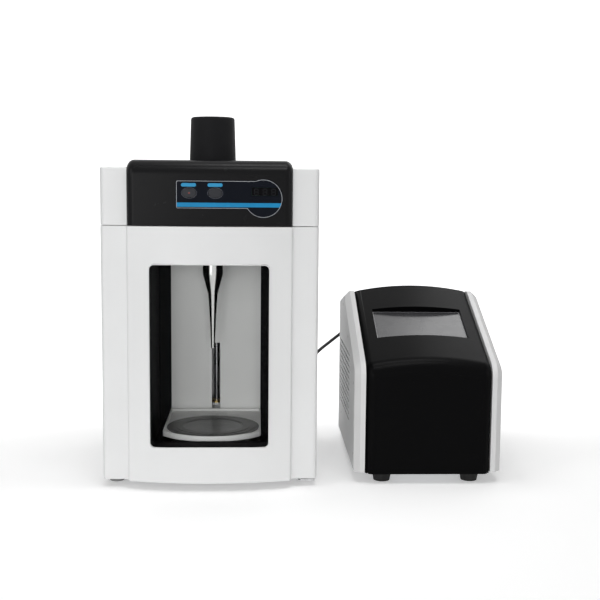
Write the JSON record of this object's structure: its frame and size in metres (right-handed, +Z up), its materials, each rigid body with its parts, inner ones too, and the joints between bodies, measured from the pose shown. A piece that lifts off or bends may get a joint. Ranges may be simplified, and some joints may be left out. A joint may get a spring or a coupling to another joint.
{
  "type": "probe sonicator",
  "caption": "Ultrasonic probe sonicator: sound enclosure with a hinged window door, lift platform and lift-out converter with horn, cabled to a sloping-front generator.",
  "frame": {"origin": "on the ground under the middle of the two housings together, cable left out", "axes": "+Z up, +X from the sound enclosure to the generator, fronts face -Y"},
  "size_m": [0.604, 0.4588, 0.5539],
  "materials": {
    "white_shell": "satin paint on steel and moulded plastic",
    "side_panel": "satin light grey",
    "black_cover": "satin black moulding",
    "black_inner": "matt black",
    "chamber_floor": "semi gloss dark grey",
    "light_panel": "satin light grey",
    "disc_grey": "matt dark grey",
    "insert_grey": "satin",
    "control_print": "printed film",
    "button_dark": "dark film",
    "pane": "clear",
    "seal_rubber": "matt",
    "grey_rubber": "matt",
    "steel": "bright",
    "zinc": "zinc plate",
    "aluminium": "satin",
    "horn_metal": "polished",
    "brass": "plain",
    "nylon": "plain",
    "magnet": "black",
    "motor_black": "black",
    "board_green": "solder mask",
    "winding": "varnished copper",
    "ceramic": "fired",
    "screen_glass": "dark glass, unlit",
    "module_frame": "plain",
    "socket_metal": "nickel",
    "cable_black": "matt"
  },
  "bodies": {
    "root": {"back_panel": "light_panel", "base_pan": "zinc", "board_standoffs": "nylon", "cable_coil": "cable_black", "cable_enclosure_run": "cable_black", "cable_generator_run": "cable_black", "cable_plugs": "cable_black", "cable_sockets": "socket_metal", "chamber_floor": "chamber_floor", "chamber_liner": "black_inner", "control_board": "board_green", "control_panel": "control_print", "converter_seat": "aluminium", "display_module": "module_frame", "door_magnet": "magnet", "enclosure_feet": "grey_rubber", "enclosure_shell": "white_shell", "fan_frame": "black_inner", "fan_guard": "steel", "front_cover": "black_cover", "generator_chassis": "zinc", "generator_feet": "seal_rubber", "generator_rear_panel": "zinc", "hinge_brackets": "steel", "inlet_pins": "steel", "left_side_panel": "side_panel", "lift_frame": "steel", "lift_motor": "motor_black", "mains_inlet": "black_inner", "number_display": "black_inner", "panel_screws": "motor_black", "power_board": "board_green", "rear_panel": "white_shell", "right_side_panel": "side_panel", "switch_frame": "black_inner", "top_cover": "black_cover", "touch_screen": "screen_glass", "transformer": "winding"},
    "door": {"door_shell": "white_shell", "window_frame": "black_inner", "door_window": "pane", "door_plate": "black_inner", "door_strike": "steel", "door_gasket": "seal_rubber", "pivot_bushings": "nylon"},
    "platform": {"platform_tray": "light_panel", "platform_disc": "disc_grey", "disc_insert": "insert_grey", "lift_carriage": "aluminium", "carriage_bushings": "brass"},
    "screw": {"lead_screw": "steel"},
    "up_key": {"up_button": "button_dark"},
    "down_key": {"down_button": "button_dark"},
    "rocker": {"power_rocker": "black_inner"},
    "rotor": {"fan_rotor": "black_inner"},
    "converter": {"converter_housing": "black_cover", "converter_masses": "aluminium", "converter_bolts": "steel", "piezo_stack": "ceramic", "horn": "horn_metal"}
  },
  "joints": [
    {"name": "door_hinge", "type": "hinge", "parent": "root", "child": "door", "pos_m": [0.01, -0.143, 0.2], "axis": [0, 0, 1], "range_deg": [0, 105]},
    {"name": "platform_lift", "type": "slide", "parent": "root", "child": "platform", "axis": [0, 0, 1], "range_m": [-0.008, 0.1]},
    {"name": "screw_turn", "type": "hinge", "parent": "root", "child": "screw", "pos_m": [-0.142, 0.101, 0.1], "axis": [0, 0, 1], "range_deg": [-9100, 760]},
    {"name": "up_press", "type": "slide", "parent": "root", "child": "up_key", "axis": [0, 1, 0], "range_m": [0, 0.0006], "stiffness_N_per_m": 600, "springref_m": -0.001},
    {"name": "down_press", "type": "slide", "parent": "root", "child": "down_key", "axis": [0, 1, 0], "range_m": [0, 0.0006], "stiffness_N_per_m": 600, "springref_m": -0.001},
    {"name": "rocker_tilt", "type": "hinge", "parent": "root", "child": "rocker", "pos_m": [0.171, 0.1715, 0.058], "axis": [1, 0, 0], "range_deg": [0, 24]},
    {"name": "fan_spin", "type": "hinge", "parent": "root", "child": "rotor", "pos_m": [0.229, 0.161, 0.15], "axis": [0, 1, 0], "continuous": true},
    {"name": "converter_lift", "type": "slide", "parent": "root", "child": "converter", "axis": [0, 0, 1], "range_m": [0, 0.24]}
  ],
  "couplings": [
    {"joint": "screw_turn", "follows": "platform_lift", "rad_per_m": -1570.8}
  ]
}
